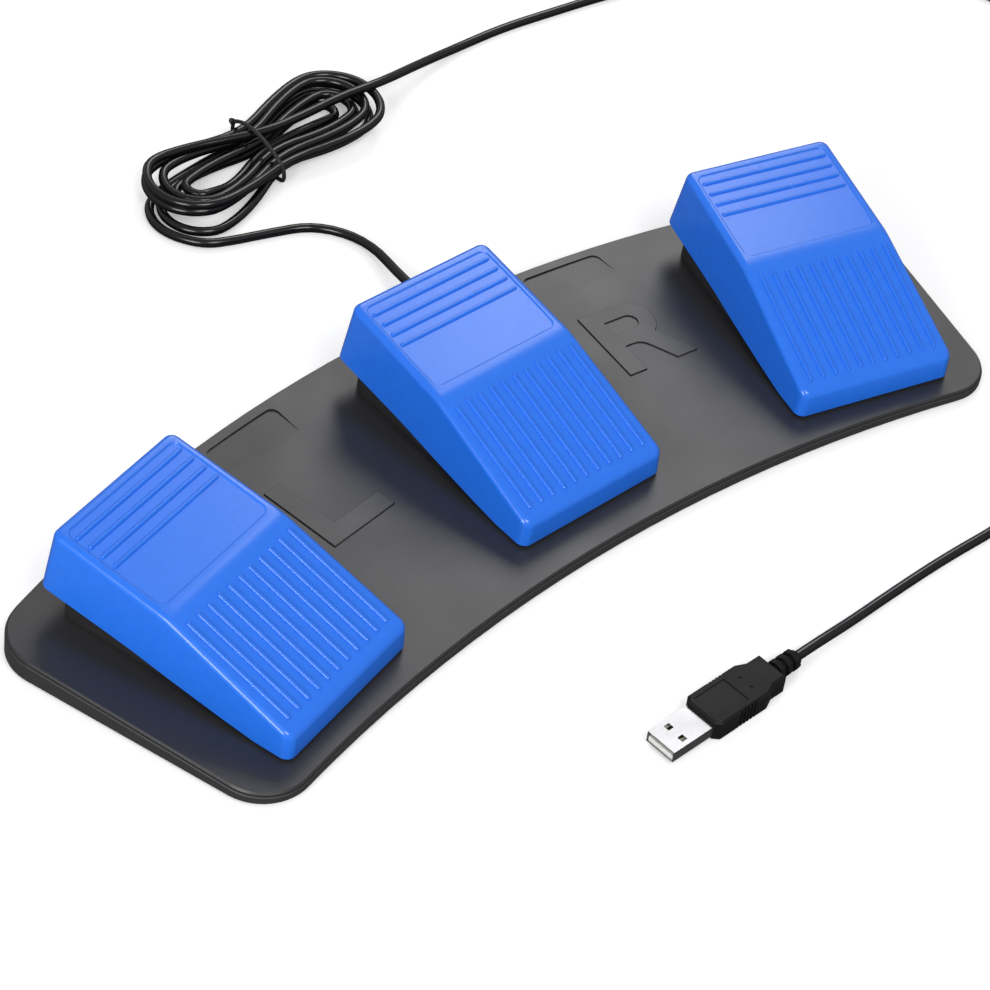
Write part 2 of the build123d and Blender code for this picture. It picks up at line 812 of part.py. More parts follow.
# Wires from two terminals of each switch to its socket on the board
terminal_back = switch_back + terminal_thickness / 2
lane_shares = {
    "left": ((-terminal_pitch, 18, 0.530, -1), (0, 13, 0.512, 1)),
    "middle": ((-terminal_pitch, 11, 0.367, -1), (0, 9, 0.349, 1)),
    "right": ((-terminal_pitch, 13, 0.423, -1), (0, 18, 0.447, 1)),
}
for name, pair in lane_shares.items():
    wires = []
    for u, ahead, lane, pin_side in pair:
        start = spot(name, u, terminal_back, wire_level)
        straight = spot(name, u, terminal_back + ahead * wire_diameter, wire_level)
        x = headers[name] + pin_side * header_pin_half
        y = front_arc_apex + lane * plate_depth
        route = [start, straight, (x, y, wire_level), (x, board_front, wire_level)]
        wires.append(tipped(wire([tuple(p) for p in route], wire_diameter, wire_bend)))
    parts[name + "_switch_wires"] = wires

# Four cores from the end of the jacket to the board
cores = []
for i in range(4):
    step = i - 3 / 2
    start = (exit_frame * Pos(step * core_fan, 0, -jacket_in - core_gap)).position
    pin_y = usb_header_y + step * core_pitch
    socket = (Pos(0, 0, deck_height) * Rot(deck_tilt, 0, 0) * Pos(usb_header_x, pin_y, core_level)).position
    route = [tuple(start), (start.X, socket.Y, socket.Z), tuple(socket)]
    cores.append(wire(route, core_diameter, core_bend))
parts["cord_cores"] = cores

# From here on the cord lies on the floor of the level frame
floor = cord_diameter / 2
low = floor + tie_thickness
high = low + layer_step
over = high + layer_step


def tube(name, points):
    """A free stretch of cord: straight runs, each bend as large as its runs allow."""
    spots = [Vector(*p) for p in points]
    runs = [b - a for a, b in zip(spots, spots[1:])]
    radii = []
    for one, two in zip(runs, runs[1:]):
        half = math.radians(one.get_angle(two)) / 2
        radii.append(bend_share * min(one.length, two.length) / math.tan(half))
    path = FilletPolyline(*points, radius=radii)
    section = Plane(origin=path @ 0, z_dir=path % 0) * RegularPolygon(floor, cord_sides)
    solid = sweep(section, path=path)
    print(name, "runs", [round(r.length) for r in runs], "radii", [round(r) for r in radii],
          "length", round(path.length, 1),
          "volume share", round(solid.volume / (section.area * path.length), 4))
    return solid


def biarc(start, start_way, end, end_way):
    """Two tangent arcs from one point and direction to another."""
    gap = end - start
    both = gap.dot(start_way + end_way)
    square = 2 * (start_way.dot(end_way) - 1)
    if abs(square) < 1e-9:
        reach = gap.dot(gap) / (2 * both)
    else:
        reach = (both - math.sqrt(both ** 2 - square * gap.dot(gap))) / square
    one, two = start + start_way * reach, end - end_way * reach
    joint = (one + two) / 2
    return [TangentArc(start, joint, tangent=start_way), TangentArc(joint, end, tangent=two - one)]


def half_turn(side, run, first, last, height, rise=0):
    """Half a turn clockwise at one end: side 1 on the right, -1 on the left."""
    reach = (first + last) / 2
    start = Vector(side * run, side * first, height)
    end = Vector(side * run, -side * last, height + rise)
    if not rise:
        middle = Vector(side * (run + reach), side * (first - last) / 2, height)
        return [ThreePointArc(start, middle, end)]
    middle = Vector(side * (run + reach - loop_step / 4), 0, height + rise / 2)
    climb = Vector(0, -side * reach * math.pi, rise).normalized()
    out = Vector(side, 0, 0)
    return biarc(start, out, middle, climb) + biarc(middle, climb, end, -out)


def side_run(side, offset, height, rise):
    """One long side drawn in at the waist: side 1 is the far one and runs to the right."""
    way = Vector(side, 0, 0)
    start = Vector(-side * hank_run, side * offset, height)
    pinch = hank_far_pinch if side > 0 else hank_near_pinch
    waist = Vector(0, side * (offset - pinch), height + rise / 2)
    end = Vector(side * hank_run, side * offset, height + rise)
    lean = Vector(side, 0, rise / hank_run * climb_share).normalized()
    return biarc(start, way, waist, lean) + biarc(waist, lean, end, way)


def wound(name, edges):
    """Sweep a chain of arcs and print its least gap to itself."""
    line = Wire(edges)
    section = Plane(origin=line @ 0, z_dir=line % 0) * RegularPolygon(floor, cord_sides)
    solid = sweep(section, path=line)
    count = round(line.length / (floor / 2))
    spots = [(line @ (i / count)) for i in range(count + 1)]
    rows = [(p.X, p.Y, p.Z) for p in spots]
    apart = round(3 * math.pi * cord_diameter / (line.length / count))
    least = min(math.dist(rows[i], rows[j])
                for i in range(len(rows)) for j in range(i + apart, len(rows)))
    print(name, "length", round(line.length, 1), "least gap", round(least - cord_diameter, 2),
          "volume share", round(solid.volume / (section.area * line.length), 4))
    return solid


# Hank: inward on the lower layer, a climb along one side, outward on the upper layer
sizes = [hank_outer - i * loop_step / 2 for i in range(hank_half_turns + 1)]
sizes += [sizes[-1] + i * loop_step / 2 for i in range(1, hank_half_turns + 2)]
first_radius = (sizes[0] + sizes[1]) / 2
first_centre = Vector(-hank_run, (sizes[1] - sizes[0]) / 2, low)


def on_first(turn):
    return first_centre + Vector(math.cos(turn), math.sin(turn), 0) * first_radius


turn = math.radians(hank_start_angle)
begin = on_first(turn)
begin_way = Vector(math.sin(turn), -math.cos(turn), 0)
half_way = on_first((turn + math.pi / 2) / 2)
hank_edges = [Line(begin - begin_way * cord_diameter, begin),
              ThreePointArc(begin, half_way, on_first(math.pi / 2))]
height = low
for i in range(1, len(sizes) - 1):
    side = 1 if i % 2 else -1
    rise = layer_step if i == hank_half_turns else 0
    hank_edges += side_run(side, sizes[i], height, rise)
    height += rise
    hank_edges += half_turn(side, hank_run, sizes[i], sizes[i + 1], height)
last = Vector(-hank_run, sizes[-1], high)
hank_edges.append(Line(last, last + Vector(cord_diameter, 0, 0)))
hank_place = Pos(hank_x, hank_y, 0) * Rot(0, 0, hank_turn)
parts["cord_hank"] = hank_place * wound("hank", hank_edges)


def in_hank(point):
    return tuple((hank_place * Pos(*point)).position)


def ring(points, place):
    """A flat band around a bundle, its inner outline given across the bundle."""
    inner_face = Polygon(*points, align=None)
    outer_face = offset(inner_face, amount=tie_thickness)
    band = Plane.YZ * (outer_face - inner_face)
    return place * extrude(band, amount=tie_width / 2, both=True)


near_b = -(sizes[-2] - hank_near_pinch) - floor - 2 * tie_gap
far_b = sizes[-3] - hank_far_pinch + floor + 2 * tie_gap
shoulder = high + floor + tie_gap
crest = over + floor + 2 * tie_gap
parts["hank_tie"] = ring(
    [(near_b, tie_thickness), (far_b, tie_thickness), (far_b, shoulder), (far_b * crest_far_share, crest),
     (far_b * crest_near_share, crest), (near_b, shoulder)],
    hank_place * Pos(hank_tie_a, 0, 0) * Rot(0, 0, hank_tie_turn))

# Lead from the case to the hank
lead_start = (exit_frame * Pos(0, 0, -jacket_in)).position
lead_out = (exit_frame * Pos(0, 0, lead_first_run - jacket_in)).position
lead_end = begin - begin_way * cord_diameter
lead_near = lead_end - begin_way * lead_last_run
lead_route = [(35.8, 166.8, 2.4), (26.2, 186.4, floor), (7.0, 193.2, floor)]
parts["cord_lead"] = tube("lead", [tuple(lead_start), tuple(lead_out)] + lead_route
                          + [in_hank(lead_near), in_hank(lead_end)])

# Tail over the hank, out of the view and round to the coil
tail_hank = [(cord_diameter - hank_run, sizes[-1], high), (-23.5, sizes[-1] + tie_gap, high + tie_thickness),
             (-12.0, 20.2, over), (3.0, 6.5, over + tie_gap), (21.0, -2.5, over + tie_gap / 2),
             (41.0, -7.0, over)]
tail_route = [(97.0, 232.2, over), (121.0, 237.2, 6.2), (147.0, 240.4, floor), (171.0, 239.2, floor),
              (196.0, 236.3, floor), (223.0, 232.8, floor), (251.0, 226.6, floor), (279.0, 215.4, floor),
              (305.0, 200.6, floor), (329.0, 182.0, floor), (350.0, 161.5, floor), (364.0, 139.5, floor),
              (363.0, 112.0, floor), (353.5, 86.0, floor)]
tail_end = (coil_x + coil_outer, coil_y + cord_diameter, low)
tail_near = (coil_x + coil_outer, coil_y + cord_diameter + coil_last_run, low)
parts["cord_tail"] = tube("tail", [in_hank(p) for p in tail_hank] + tail_route + [tail_near, tail_end])

# Coil: inward on the lower layer, a climb in the turn where it reverses, outward on the upper
rings = [coil_outer - i * loop_step / 2 for i in range(coil_half_turns + 1)]
rings += [rings[-1] + i * loop_step / 2 for i in range(coil_half_turns + 2)]
coil_edges = [Line((-cord_diameter, coil_outer, low), (0, coil_outer, low))]
height = low
for i in range(len(rings) - 1):
    rise = layer_step if i == coil_half_turns else 0
    coil_edges += half_turn(-1 if i % 2 else 1, 0, rings[i], rings[i + 1], height, rise)
    height += rise
coil_edges.append(Line((0, rings[-1], high), (cord_diameter, rings[-1], high)))
coil_place = Pos(coil_x, coil_y, 0) * Rot(0, 0, -90)
parts["cord_coil"] = coil_place * wound("coil", coil_edges)
bundle_in = (rings[1] + rings[2]) / 2 - floor - tie_gap
bundle_out = (rings[-1] + rings[-2]) / 2 + floor + tie_gap
parts["coil_tie"] = ring(
    [(-bundle_out, tie_thickness), (-bundle_in, tie_thickness), (-bundle_in, shoulder),
     (-bundle_out, shoulder)],
    coil_place * Rot(0, 0, -90))

# Plug
plug_place = Pos(plug_x, plug_y, 0) * Rot(0, 0, plug_turn)
axis_z = moulding_height / 2
shell_root = relief_length + moulding_length
tip = shell_root + shell_out


def bar(start, end, width, low_z, height_z, y=0):
    """A box along the plug, from one x to another."""
    return block((start + end) / 2, y, low_z, end - start, width, height_z)


def stem(start, end, diameter):
    """A round piece along the plug's own axis."""
    line = Pos(start, 0, axis_z) * Rot(0, 90, 0)
    return line * extrude(RegularPolygon(diameter / 2, inner_sides), amount=end - start)


step_x = relief_length + neck_length
wide_x = step_x + shoulder_length
plan = Polygon(
    (relief_length, -neck_width / 2), (step_x, -neck_width / 2), (wide_x, -moulding_width / 2),
    (shell_root, -moulding_width / 2), (shell_root, moulding_width / 2), (wide_x, moulding_width / 2),
    (step_x, neck_width / 2), (relief_length, neck_width / 2), align=None)
overmould = extrude(plan, amount=moulding_height)
overmould = chamfer(overmould.edges().filter_by(Axis.Z).sort_by(Axis.X)[-2:], length=moulding_corner)
rims = overmould.faces().sort_by(Axis.Z)
overmould = chamfer(rims[0].edges() + rims[-1].edges(), length=moulding_chamfer)
overmould += stem(0, relief_length, relief_core)
for i in range(relief_ring_count):
    x = relief_first + i * relief_pitch
    overmould += stem(x, x + relief_ring_width, relief_ring)
plate_end = plate_x + plate_length / 2
overmould -= bar(plate_x - plate_length / 2, plate_end, plate_width,
                 moulding_height - plate_inset, moulding_height)
for y in (-dot_half, dot_half):
    overmould -= post(dot_x, y, moulding_height - plate_inset, moulding_height, dot_diameter)
for i in range(groove_count):
    x = groove_first + i * groove_pitch
    for y in (-moulding_width / 2, moulding_width / 2):
        overmould -= bar(x, x + groove_width, 2 * groove_depth, 0, moulding_height, y)
pocket = bar(shell_root - shell_in, shell_root + shell_in, shell_width,
             axis_z - shell_height / 2, shell_height)
overmould -= pocket
shell = bar(shell_root - shell_in, tip, shell_width, axis_z - shell_height / 2, shell_height)
shell -= bar(shell_root - shell_in, tip, shell_width - 2 * shell_wall,
             axis_z - shell_height / 2 + shell_wall, shell_height - 2 * shell_wall)
window_x = tip - window_from_tip
for y in (-window_half, window_half):
    shell -= bar(window_x - window_size, window_x, window_size, 0, 2 * moulding_height, y)
tongue_low = axis_z - shell_height / 2 + shell_wall
insulator = bar(shell_root - shell_in, shell_root, tongue_width, tongue_low, shell_height - 2 * shell_wall)
insulator += bar(shell_root - shell_in, tip - tongue_short, tongue_width, tongue_low, tongue_height)
contacts = []
for i in range(4):
    y = (i - 3 / 2) * contact_pitch
    contacts.append(bar(tip - contact_short - contact_length, tip - contact_short, contact_width,
                        tongue_low + tongue_height, contact_height, y))
parts["plug_overmould"] = plug_place * overmould
parts["plug_shell"] = plug_place * shell
parts["plug_insulator"] = plug_place * insulator
parts["plug_contacts"] = [plug_place * c for c in contacts]

# Plug lead from the coil to the plug
lead_x = coil_x + rings[-1]
plug_end = (plug_place * Pos(0, 0, axis_z)).position
plug_near = (plug_place * Pos(-plug_first_run, 0, axis_z)).position
plug_route = [(lead_x, coil_y - cord_diameter, high), (lead_x, coil_y - cord_diameter - coil_first_run, high),
              (335.0, -29.0, 3.8), (316.0, -46.0, floor), (289.0, -53.0, floor), (260.0, -54.5, floor),
              (231.0, -58.0, floor), (202.0, -64.5, floor), (174.0, -73.0, floor), (146.0, -79.5, floor),
              (117.0, -81.5, floor), (88.0, -80.2, floor), (60.0, -80.6, floor), (38.0, -81.8, 2.6)]
parts["plug_lead"] = tube("plug lead", plug_route + [tuple(plug_near), tuple(plug_end)])

# The middle of the object without its cord is brought to the origin
body = [parts["base_tray"], parts["cord_bushing"]] + [parts[name + "_treadle"] for name in pedals]
front_y = min(piece.bounding_box().min.Y for piece in body)
rear_y = max(piece.bounding_box().max.Y for piece in body)
shift = Pos(0, -(front_y + rear_y) / 2, 0)
print("shift", round(-(front_y + rear_y) / 2, 3))

for name, piece in parts.items():
    pieces = [shift * one for one in piece] if isinstance(piece, list) else shift * piece
    shape = Compound(children=pieces) if isinstance(piece, list) else pieces
    export_step(shape, "parts/" + name + ".step")
    print(name, round(shape.volume, 1), shape.is_valid)
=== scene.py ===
import bpy
import bmesh
import math
from mathutils import Matrix, Vector


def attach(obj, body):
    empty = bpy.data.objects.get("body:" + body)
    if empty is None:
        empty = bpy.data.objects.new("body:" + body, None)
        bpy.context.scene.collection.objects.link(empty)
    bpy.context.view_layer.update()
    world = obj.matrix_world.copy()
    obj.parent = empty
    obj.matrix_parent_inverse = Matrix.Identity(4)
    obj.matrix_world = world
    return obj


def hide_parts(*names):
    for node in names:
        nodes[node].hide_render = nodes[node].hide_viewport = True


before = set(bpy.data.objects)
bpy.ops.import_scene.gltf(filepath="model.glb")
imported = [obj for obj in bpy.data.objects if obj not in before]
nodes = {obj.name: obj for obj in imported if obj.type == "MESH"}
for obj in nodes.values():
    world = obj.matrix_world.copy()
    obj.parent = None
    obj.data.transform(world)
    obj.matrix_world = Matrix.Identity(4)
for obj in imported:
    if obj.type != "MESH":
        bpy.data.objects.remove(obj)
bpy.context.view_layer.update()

scene = bpy.context.scene
scene.view_settings.view_transform = "Standard"

# The scene is in metres. Tables of points are in millimetres, and a function turns them.
ROW_Y = -0.048519
TILT = math.radians(2.58)
DECK_Z = 0.00684
CORD = 0.0036
SIDE_X, SIDE_Y, SIDE_TURN = 0.1226, -0.0174, math.radians(14.4)

DECK = Matrix.Translation((0, ROW_Y, DECK_Z)) @ Matrix.Rotation(TILT, 4, "X")
PEDALS = {
    "left": Matrix.Translation((-SIDE_X, SIDE_Y, 0)) @ Matrix.Rotation(SIDE_TURN, 4, "Z"),
    "middle": Matrix.Identity(4),
    "right": Matrix.Translation((SIDE_X, SIDE_Y, 0)) @ Matrix.Rotation(-SIDE_TURN, 4, "Z"),
}


def row(x, y, z):
    """A point in millimetres from the middle of the pedal row, as a place in metres."""
    return Vector((x / 1000, y / 1000 + ROW_Y, z / 1000))


# Materials
NOISE_LOW, NOISE_HIGH = 0.3, 0.7
CLOUD_DETAIL, PATCH_DETAIL, BUMP_DETAIL = 4.0, 3.0, 2.0
PATCH_SCALE, LEAST_ROUGH, BUMP_DISTANCE = 35.0, 0.02, 0.0002


def grey(level):
    return level, level, level, 1


def add_node(tree, kind, values=None):
    """A new node, with a value for each input that is named."""
    made = tree.nodes.new(kind)
    for key, value in (values or {}).items():
        made.inputs[key].default_value = value
    return made


def material(name, color, rough, spread=0.1, grain=900.0, bump=0.0, bump_scale=1500.0,
             metallic=0.0, coat=0.0, coat_rough=0.1, specular=0.5, rough_spread=0.06):
    """A principled material whose colour, roughness and relief vary over the surface."""
    mat = bpy.data.materials.new(name)
    mat.use_nodes = True
    tree = mat.node_tree
    join = tree.links.new
    shader = tree.nodes["Principled BSDF"]
    shader.inputs["Metallic"].default_value = metallic
    shader.inputs["Coat Weight"].default_value = coat
    shader.inputs["Coat Roughness"].default_value = coat_rough
    shader.inputs["Specular IOR Level"].default_value = specular

    place = add_node(tree, "ShaderNodeTexCoord")
    cloud = add_node(tree, "ShaderNodeTexNoise", {"Scale": grain, "Detail": CLOUD_DETAIL})
    join(place.outputs["Object"], cloud.inputs["Vector"])
    ramp = add_node(tree, "ShaderNodeValToRGB")
    dark, light = ramp.color_ramp.elements
    dark.position = NOISE_LOW
    light.position = NOISE_HIGH
    dark.color = [c * (1 - spread) for c in color] + [1]
    light.color = [min(1, c * (1 + spread)) for c in color] + [1]
    join(cloud.outputs["Fac"], ramp.inputs["Fac"])
    join(ramp.outputs["Color"], shader.inputs["Base Color"])

    patches = add_node(tree, "ShaderNodeTexNoise", {"Scale": PATCH_SCALE, "Detail": PATCH_DETAIL})
    join(place.outputs["Object"], patches.inputs["Vector"])
    span = add_node(tree, "ShaderNodeMapRange", {
        "From Min": NOISE_LOW, "From Max": NOISE_HIGH,
        "To Min": max(LEAST_ROUGH, rough - rough_spread), "To Max": min(1.0, rough + rough_spread)})
    join(patches.outputs["Fac"], span.inputs["Value"])
    join(span.outputs["Result"], shader.inputs["Roughness"])

    if bump:
        fine = add_node(tree, "ShaderNodeTexNoise", {"Scale": bump_scale, "Detail": BUMP_DETAIL})
        join(place.outputs["Object"], fine.inputs["Vector"])
        relief = add_node(tree, "ShaderNodeBump", {"Strength": bump, "Distance": BUMP_DISTANCE})
        join(fine.outputs["Fac"], relief.inputs["Height"])
        join(relief.outputs["Normal"], shader.inputs["Normal"])
    return mat


BLUE = material("pedal_blue", (0.016, 0.165, 0.80), 0.26, spread=0.03, grain=260, bump=0.002,
                bump_scale=1200, coat=0.45, coat_rough=0.16, specular=0.35, rough_spread=0.02)
CHARCOAL = material("deck_charcoal", (0.024, 0.024, 0.026), 0.36, spread=0.08, grain=1500,
                    bump=0.12, bump_scale=3800, rough_spread=0.03)
RIM = material("tray_black", (0.030, 0.030, 0.031), 0.45, spread=0.08, grain=1200, bump=0.15,
               bump_scale=3500)
HOUSING = material("housing_black", (0.02, 0.02, 0.021), 0.55, bump=0.2, bump_scale=3000)
RUBBER = material("rubber_black", (0.013, 0.013, 0.013), 0.7, spread=0.15, bump=0.25, bump_scale=4200)
STEEL = material("screw_steel", (0.55, 0.55, 0.56), 0.28, metallic=1.0, bump=0.1, bump_scale=5000)
SPRING = material("spring_steel", (0.42, 0.42, 0.44), 0.25, metallic=1.0, bump=0.1, bump_scale=5000)
SWITCH = material("switch_body", (0.025, 0.025, 0.026), 0.42, bump=0.15, bump_scale=4000)
PLUNGER = material("plunger_red", (0.5, 0.05, 0.035), 0.4, bump=0.1, bump_scale=4000)
BRASS = material("contact_brass", (0.80, 0.60, 0.25), 0.25, metallic=1.0, bump=0.08, bump_scale=5000)
WIRE_RED = material("wire_red", (0.5, 0.035, 0.03), 0.4, bump=0.1, bump_scale=5000)
CORE = material("core_white", (0.62, 0.62, 0.58), 0.4, bump=0.1, bump_scale=5000)
BOARD = material("board_green", (0.012, 0.13, 0.045), 0.35, spread=0.2, grain=500, coat=0.4)
CHIP = material("chip_black", (0.018, 0.018, 0.02), 0.5, bump=0.2, bump_scale=6000)
BRIGHT = material("nickel", (0.34, 0.34, 0.35), 0.33, metallic=1.0, bump=0.05, bump_scale=3000,
                  rough_spread=0.05, spread=0.04)
CERAMIC = material("ceramic_tan", (0.42, 0.3, 0.18), 0.45)
HEADER = material("header_cream", (0.72, 0.70, 0.62), 0.4, bump=0.1, bump_scale=5000)
SHEATH = material("cord_black", (0.004, 0.004, 0.0044), 0.19, spread=0.15, grain=700, bump=0.06,
                  bump_scale=1600, rough_spread=0.04)
TIE = material("tie_black", (0.012, 0.012, 0.012), 0.55, spread=0.15, bump=0.2, bump_scale=5000)
PLUG = material("plug_black", (0.007, 0.007, 0.0075), 0.5, spread=0.1, grain=900, bump=0.15,
                bump_scale=4500, specular=0.2)
WHITE = material("insulator_white", (0.78, 0.78, 0.75), 0.4, bump=0.08, bump_scale=5000)

FINISHES = [
    ("base_deck", CHARCOAL), ("base_tray", RIM), ("rubber_feet", RUBBER), ("cord_bushing", RUBBER),
    ("case_screws", STEEL), ("board_screws", STEEL), ("housing_screws", STEEL),
    ("switch_screws", STEEL), ("circuit_board", BOARD), ("controller_chip", CHIP),
    ("crystal", BRIGHT), ("capacitors", CERAMIC), ("switch_headers", HEADER),
    ("usb_header", HEADER), ("cord_cores", CORE), ("hank_tie", TIE), ("coil_tie", TIE),
    ("plug_overmould", PLUG), ("plug_shell", BRIGHT), ("plug_insulator", WHITE),
    ("plug_contacts", BRASS),
]
for side in PEDALS:
    FINISHES += [
        (side + "_treadle", BLUE), (side + "_pedal_housing", HOUSING), (side + "_hinge_pin", STEEL),
        (side + "_return_spring", SPRING), (side + "_microswitch", SWITCH),
        (side + "_switch_plunger", PLUNGER), (side + "_switch_terminals", BRASS),
        (side + "_switch_wires", WIRE_RED),
    ]
for name, mat in FINISHES:
    nodes[name].data.materials.clear()
    nodes[name].data.materials.append(mat)


def link(obj, body, mat):
    """Put a new piece into the scene, on its body, with its material and slot."""
    scene.collection.objects.link(obj)
    obj.data.materials.append(mat)
    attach(obj, body)
    return obj


# Treadles: v runs to the rear from the plate's front, w is the height over the deck, in mm
FRONT, LENGTH, HEIGHT, HALF = 6.25, 101.3, 36.7, 32.9
REAR = FRONT + LENGTH
SIDE_DRAFT, SKIRT_LOW, FRONT_LEAN, FRONT_RISE = 0.05556, 1.2, 0.35, 9.8
REAR_LEAN, REAR_LOW = 3.0, 12.0
NOSE_V, NOSE_W, REAR_TOP = 6.6, 11.0, REAR - REAR_LEAN
CREASE_V, CREASE_W, CREASE_ROUND = FRONT + 0.5128 * LENGTH, 29.7, 28.0
FRONT_SLOPE = (CREASE_W - NOSE_W) / (CREASE_V - NOSE_V)
REAR_SLOPE = (HEIGHT - CREASE_W) / (REAR_TOP - CREASE_V)
FRONT_ANGLE, REAR_ANGLE = math.atan(FRONT_SLOPE), math.atan(REAR_SLOPE)
TANGENT = CREASE_ROUND * math.tan((FRONT_ANGLE - REAR_ANGLE) / 2)
BLEND_FRONT = CREASE_V - TANGENT * math.cos(FRONT_ANGLE)
BLEND_REAR = CREASE_V + TANGENT * math.cos(REAR_ANGLE)
WALL, RIM_ROUND, RIM_STEPS, CORNER, CORNER_STEPS = 1.8, 2.2, 6, 3.5, 6
# The top's thickness of 2.2 mm, measured upright through its slope
CEILING = 2.2 * 1.05
PANEL_FRONT, PANEL_REAR, PANEL_HALF = CREASE_V + 3.4, REAR - 6.65, 27.9
PANEL_DEPTH, PANEL_ROUND, STEP_HALF, STEP_GAP = 0.4, 3.0, 0.3, 0.2
# The skirt's lower edge, as places along the treadle and their heights
SKIRT = [(FRONT, SKIRT_LOW), (FRONT + 0.157 * LENGTH, SKIRT_LOW), (FRONT + 0.436 * LENGTH, 4.9),
         (FRONT + 0.655 * LENGTH, 8.3), (REAR + 1, 12.1)]
SETTLING_ROUNDS = 4
SHARP_ANGLE = math.radians(24)

FRONT_RIBS, FRONT_PITCH, FRONT_RIB = 11, 5.325, 0.8
FRONT_RIB_ENDS = FRONT + 5.2, CREASE_V - 5.1
REAR_RIBS, REAR_PITCH, REAR_RIB, REAR_RIB_HALF = 4, 5.05, 0.9, 26.9
REAR_RIB_FIRST = REAR - 10.3
RIB_TURNS, RIB_SIDES, RIB_SUNK = (0.25, 0.6, 1.0, math.pi / 2), 8, 0.03

PIN_V, PIN_W, BORE = 15.5, 5.4, 1.55
EAR_FACES, EAR_ROUND, EAR_TOP, EAR_SIDES = (23.2, 26.2), 3.2, 7.2, 32
BAR_U, BAR_HALF, BAR_LOW, BAR_HIGH = 12, 0.75, 5.7, 1.2
BAR_FRONT, BAR_REAR = 36.2, 98.8
PUSHER_LOW, PUSHER_HIGH, PUSHER_BEVEL = (-4, 24, 14.0), (4, 30, 16.6), 0.25
SPRING_V, DRUM_SIDES = FRONT + 0.6293 * LENGTH, 24
# The spring's cap and the stub inside the spring, as lower end, upper end and radius
SPRING_DRUMS = [(24.5, 30.0, 6.5), (21.5, 24.7, 2.5)]


def top_line(v):
    """Height of the treadle's top at one place along it."""
    if v <= BLEND_FRONT:
        return NOSE_W + (v - NOSE_V) * FRONT_SLOPE
    if v >= BLEND_REAR:
        return CREASE_W + (v - CREASE_V) * REAR_SLOPE
    middle = BLEND_FRONT + CREASE_ROUND * math.sin(FRONT_ANGLE)
    base = NOSE_W + (BLEND_FRONT - NOSE_V) * FRONT_SLOPE - CREASE_ROUND * math.cos(FRONT_ANGLE)
    return base + math.sqrt(CREASE_ROUND ** 2 - (v - middle) ** 2)


def skirt_line(v):
    """Height of the skirt's lower edge at one place along it."""
    for (v0, w0), (v1, w1) in zip(SKIRT, SKIRT[1:]):
        if v <= v1:
            return w0 + (w1 - w0) * (v - v0) / (v1 - v0)
    return SKIRT[-1][1]


def outline_point(kind, value, w, inset):
    """A place on the treadle's outline, drawn in by its draft and by an inset."""
    half = HALF - SIDE_DRAFT * w - inset
    front = FRONT + FRONT_LEAN * (w - SKIRT_LOW) / FRONT_RISE + inset
    rear = REAR - REAR_LEAN * (w - REAR_LOW) / (HEIGHT - REAR_LOW) - inset
    radius = CORNER - inset
    if kind == "side":
        return half, value
    out, along = radius * math.cos(value), radius * math.sin(value)
    if kind == "front":
        return half - radius + out, front + radius - along
    return half - radius + out, rear - radius + along


def outline_row(level, inset):
    """One ring of points, right half from the front to the rear."""
    made = []
    for kind, value in STATIONS:
        v = value if kind == "side" else (FRONT if kind == "front" else REAR)
        # Place and height depend on one another, and settle in a few rounds
        for _ in range(SETTLING_ROUNDS):
            w = level(v)
            u, v = outline_point(kind, value, w, inset)
        made.append((u, v, w))
    return made


# Places of the rings' points: round the front corner, along the side, round the rear corner
CREASE_STEPS = 8
LENGTHWISE = [10.3, 20, 32, 44, 52, 54.8]
LENGTHWISE += [BLEND_FRONT + (BLEND_REAR - BLEND_FRONT) * i / CREASE_STEPS
               for i in range(CREASE_STEPS + 1)]
LENGTHWISE += [PANEL_FRONT + step for step in (-STEP_HALF, STEP_HALF, 0.6, 1.2, 2.0)]
LENGTHWISE += [70, 80, 90]
LENGTHWISE += [PANEL_REAR + step for step in (-2.0, -1.2, -0.6, -STEP_HALF, STEP_HALF)]
STATIONS = [("front", math.pi / 2 * (1 - i / CORNER_STEPS)) for i in range(CORNER_STEPS + 1)]
STATIONS += [("side", v) for v in LENGTHWISE]
STATIONS += [("rear", math.pi / 2 * i / CORNER_STEPS) for i in range(CORNER_STEPS + 1)]


def panel_edge(v):
    """How far out the sunk panel reaches at one place along it."""
    near = min(v - PANEL_FRONT, PANEL_REAR - v)
    if near >= PANEL_ROUND:
        return PANEL_HALF
    near = max(0.0, near)
    return PANEL_HALF - PANEL_ROUND + math.sqrt(PANEL_ROUND ** 2 - (PANEL_ROUND - near) ** 2)


